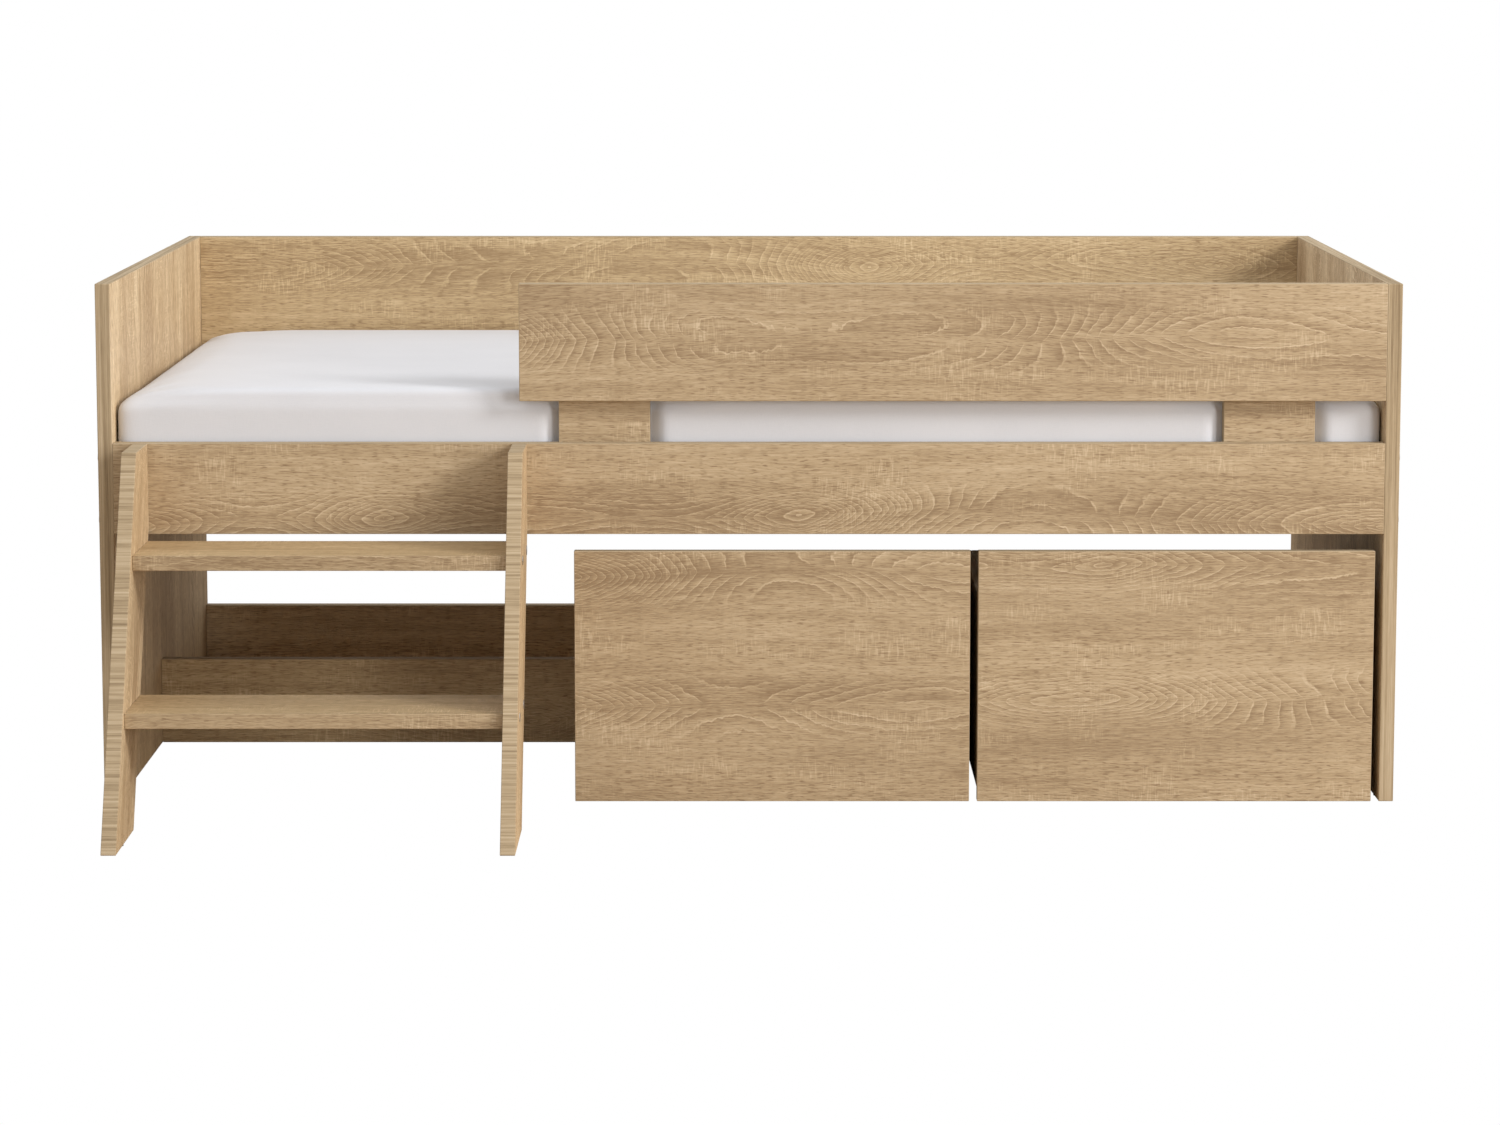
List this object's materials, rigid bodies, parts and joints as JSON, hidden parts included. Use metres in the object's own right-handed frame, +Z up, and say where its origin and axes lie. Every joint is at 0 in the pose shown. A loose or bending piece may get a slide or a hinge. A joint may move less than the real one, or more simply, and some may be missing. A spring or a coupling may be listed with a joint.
{
  "type": "low sleeper bed",
  "caption": "Raised single bed in oak-finish boards with full-height ends, back panel, guard rail, short ladder, slatted base, mattress and castor drawers that roll out below.",
  "frame": {"origin": "on the floor, in the middle of the footprint of bed and ladder", "axes": "+X along the bed to the end without the ladder, +Y to the back panel, +Z up"},
  "size_m": [1.962, 1.309, 0.794],
  "materials": {
    "oak_board": "satin",
    "pine": "matte",
    "beech": "matte",
    "mattress_cotton": "matte",
    "webbing": "matte",
    "bolt_steel": "satin",
    "nut_zinc": "satin",
    "screw_zinc": "satin",
    "castor_grey": "satin",
    "black_plastic": "matte",
    "wheel_nylon": "satin"
  },
  "bodies": {
    "frame": {"end_panel_left": "oak_board", "end_panel_right": "oak_board", "side_rail": "oak_board", "guard_rail": "oak_board", "guard_support_left": "oak_board", "guard_support_right": "oak_board", "back_panel": "oak_board", "rear_stretcher": "oak_board", "drawer_stop_stretcher": "oak_board", "front_ledge": "pine", "rear_ledge": "pine", "slat_tapes": "webbing", "mattress": "mattress_cotton", "ladder_side_left": "oak_board", "ladder_side_right": "oak_board", "tread_upper": "oak_board", "tread_lower": "oak_board", "frame_bolts": "bolt_steel", "barrel_nuts": "nut_zinc", "frame_dowels": "beech", "wood_screws": "screw_zinc", "floor_glides": "black_plastic", "slat_1": "pine", "slat_2": "pine", "slat_3": "pine", "slat_4": "pine", "slat_5": "pine", "slat_6": "pine", "slat_7": "pine", "slat_8": "pine", "slat_9": "pine", "slat_10": "pine", "slat_11": "pine", "slat_12": "pine"},
    "left_drawer": {"left_drawer_front": "oak_board", "left_drawer_side_left": "oak_board", "left_drawer_side_right": "oak_board", "left_drawer_back": "oak_board", "left_drawer_base": "oak_board", "left_drawer_castor_frames": "castor_grey", "left_drawer_castor_axles": "bolt_steel", "left_drawer_castor_screws": "screw_zinc", "left_drawer_dowels": "beech"},
    "left_drawer_wheel_front_left": {"left_drawer_wheel_front_left": "wheel_nylon"},
    "left_drawer_wheel_front_right": {"left_drawer_wheel_front_right": "wheel_nylon"},
    "left_drawer_wheel_rear_left": {"left_drawer_wheel_rear_left": "wheel_nylon"},
    "left_drawer_wheel_rear_right": {"left_drawer_wheel_rear_right": "wheel_nylon"},
    "right_drawer": {"right_drawer_front": "oak_board", "right_drawer_side_left": "oak_board", "right_drawer_side_right": "oak_board", "right_drawer_back": "oak_board", "right_drawer_base": "oak_board", "right_drawer_castor_frames": "castor_grey", "right_drawer_castor_axles": "bolt_steel", "right_drawer_castor_screws": "screw_zinc", "right_drawer_dowels": "beech"},
    "right_drawer_wheel_front_left": {"right_drawer_wheel_front_left": "wheel_nylon"},
    "right_drawer_wheel_front_right": {"right_drawer_wheel_front_right": "wheel_nylon"},
    "right_drawer_wheel_rear_left": {"right_drawer_wheel_rear_left": "wheel_nylon"},
    "right_drawer_wheel_rear_right": {"right_drawer_wheel_rear_right": "wheel_nylon"}
  },
  "joints": [
    {"name": "left_drawer_slide", "type": "slide", "parent": "frame", "child": "left_drawer", "axis": [0, -1, 0], "range_m": [0, 0.43]},
    {"name": "left_drawer_wheel_front_left_spin", "type": "hinge", "parent": "left_drawer", "child": "left_drawer_wheel_front_left", "pos_m": [-0.204, -0.2445, 0.015], "axis": [1, 0, 0], "continuous": true},
    {"name": "left_drawer_wheel_front_right_spin", "type": "hinge", "parent": "left_drawer", "child": "left_drawer_wheel_front_right", "pos_m": [0.275, -0.2445, 0.015], "axis": [1, 0, 0], "continuous": true},
    {"name": "left_drawer_wheel_rear_left_spin", "type": "hinge", "parent": "left_drawer", "child": "left_drawer_wheel_rear_left", "pos_m": [-0.204, 0.0645, 0.015], "axis": [1, 0, 0], "continuous": true},
    {"name": "left_drawer_wheel_rear_right_spin", "type": "hinge", "parent": "left_drawer", "child": "left_drawer_wheel_rear_right", "pos_m": [0.275, 0.0645, 0.015], "axis": [1, 0, 0], "continuous": true},
    {"name": "right_drawer_slide", "type": "slide", "parent": "frame", "child": "right_drawer", "axis": [0, -1, 0], "range_m": [0, 0.43]},
    {"name": "right_drawer_wheel_front_left_spin", "type": "hinge", "parent": "right_drawer", "child": "right_drawer_wheel_front_left", "pos_m": [0.407, -0.2445, 0.015], "axis": [1, 0, 0], "continuous": true},
    {"name": "right_drawer_wheel_front_right_spin", "type": "hinge", "parent": "right_drawer", "child": "right_drawer_wheel_front_right", "pos_m": [0.886, -0.2445, 0.015], "axis": [1, 0, 0], "continuous": true},
    {"name": "right_drawer_wheel_rear_left_spin", "type": "hinge", "parent": "right_drawer", "child": "right_drawer_wheel_rear_left", "pos_m": [0.407, 0.0645, 0.015], "axis": [1, 0, 0], "continuous": true},
    {"name": "right_drawer_wheel_rear_right_spin", "type": "hinge", "parent": "right_drawer", "child": "right_drawer_wheel_rear_right", "pos_m": [0.886, 0.0645, 0.015], "axis": [1, 0, 0], "continuous": true}
  ],
  "couplings": [
    {"joint": "left_drawer_wheel_front_left_spin", "follows": "left_drawer_slide", "rad_per_m": 66.667},
    {"joint": "left_drawer_wheel_front_right_spin", "follows": "left_drawer_slide", "rad_per_m": 66.667},
    {"joint": "left_drawer_wheel_rear_left_spin", "follows": "left_drawer_slide", "rad_per_m": 66.667},
    {"joint": "left_drawer_wheel_rear_right_spin", "follows": "left_drawer_slide", "rad_per_m": 66.667},
    {"joint": "right_drawer_wheel_front_left_spin", "follows": "right_drawer_slide", "rad_per_m": 66.667},
    {"joint": "right_drawer_wheel_front_right_spin", "follows": "right_drawer_slide", "rad_per_m": 66.667},
    {"joint": "right_drawer_wheel_rear_left_spin", "follows": "right_drawer_slide", "rad_per_m": 66.667},
    {"joint": "right_drawer_wheel_rear_right_spin", "follows": "right_drawer_slide", "rad_per_m": 66.667}
  ]
}
